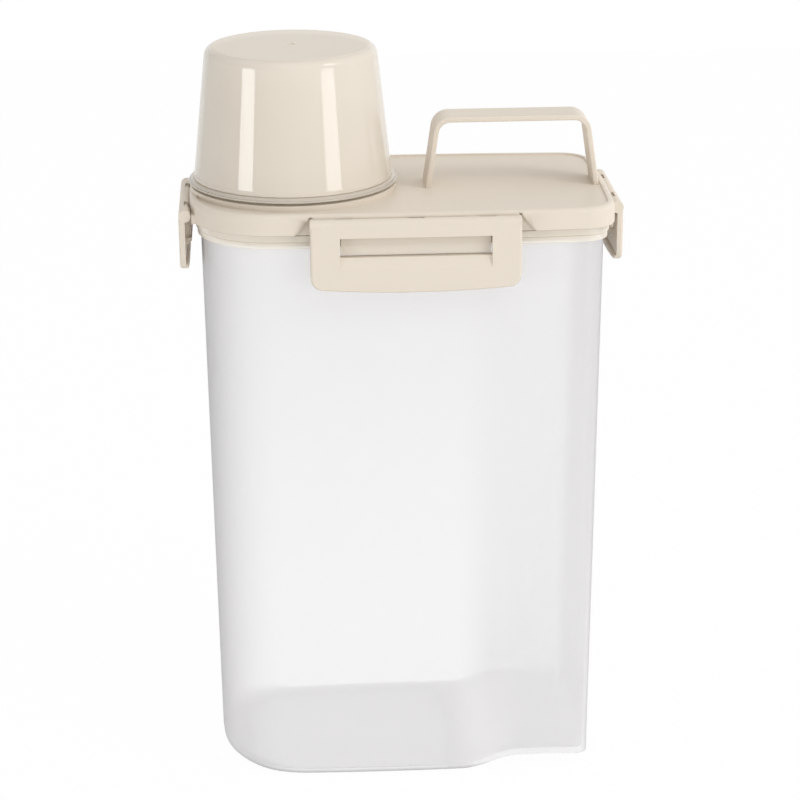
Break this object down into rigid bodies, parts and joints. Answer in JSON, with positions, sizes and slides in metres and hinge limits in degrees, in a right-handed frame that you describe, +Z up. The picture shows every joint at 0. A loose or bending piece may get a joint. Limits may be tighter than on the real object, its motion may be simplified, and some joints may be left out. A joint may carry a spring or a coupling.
{
  "type": "grain storage container",
  "caption": "Tall frosted kitchen container with a rounded nose, a latched beige lid, a strap handle and a measuring cup that covers the pouring spout.",
  "frame": {"origin": "middle of the object's box on the plane that the base stands on", "axes": "+Z up, +X along the length towards the handle end, -Y the front with the long latch of the picture"},
  "size_m": [0.1762, 0.107, 0.302],
  "materials": {
    "frosted_wall": "frosted see-through polypropylene",
    "lid_plastic": "opaque beige, satin moulded",
    "cup_plastic": "translucent beige, polished",
    "silicone": "soft white silicone"
  },
  "bodies": {
    "container": {"container_body": "frosted_wall", "lid": "lid_plastic", "lid_gasket": "silicone", "spout_gasket": "silicone", "handle": "lid_plastic"},
    "measuring_cup": {"measuring_cup": "cup_plastic"},
    "front_latch": {"front_latch": "lid_plastic"},
    "back_latch": {"back_latch": "lid_plastic"},
    "left_latch": {"left_latch": "lid_plastic"},
    "right_latch": {"right_latch": "lid_plastic"}
  },
  "joints": [
    {"name": "cup_lift", "type": "slide", "parent": "container", "child": "measuring_cup", "axis": [0, 0, 1], "range_m": [0, 0.045]},
    {"name": "front_latch_hinge", "type": "hinge", "parent": "container", "child": "front_latch", "pos_m": [0.0039, -0.0511, 0.2412], "axis": [-1, 0, 0], "range_deg": [0, 100]},
    {"name": "back_latch_hinge", "type": "hinge", "parent": "container", "child": "back_latch", "pos_m": [0.0039, 0.0511, 0.2412], "axis": [1, 0, 0], "range_deg": [0, 100]},
    {"name": "left_latch_hinge", "type": "hinge", "parent": "container", "child": "left_latch", "pos_m": [-0.0857, 0, 0.2396], "axis": [0, 1, 0], "range_deg": [0, 100]},
    {"name": "right_latch_hinge", "type": "hinge", "parent": "container", "child": "right_latch", "pos_m": [0.0857, 0, 0.2396], "axis": [0, -1, 0], "range_deg": [0, 100]}
  ]
}
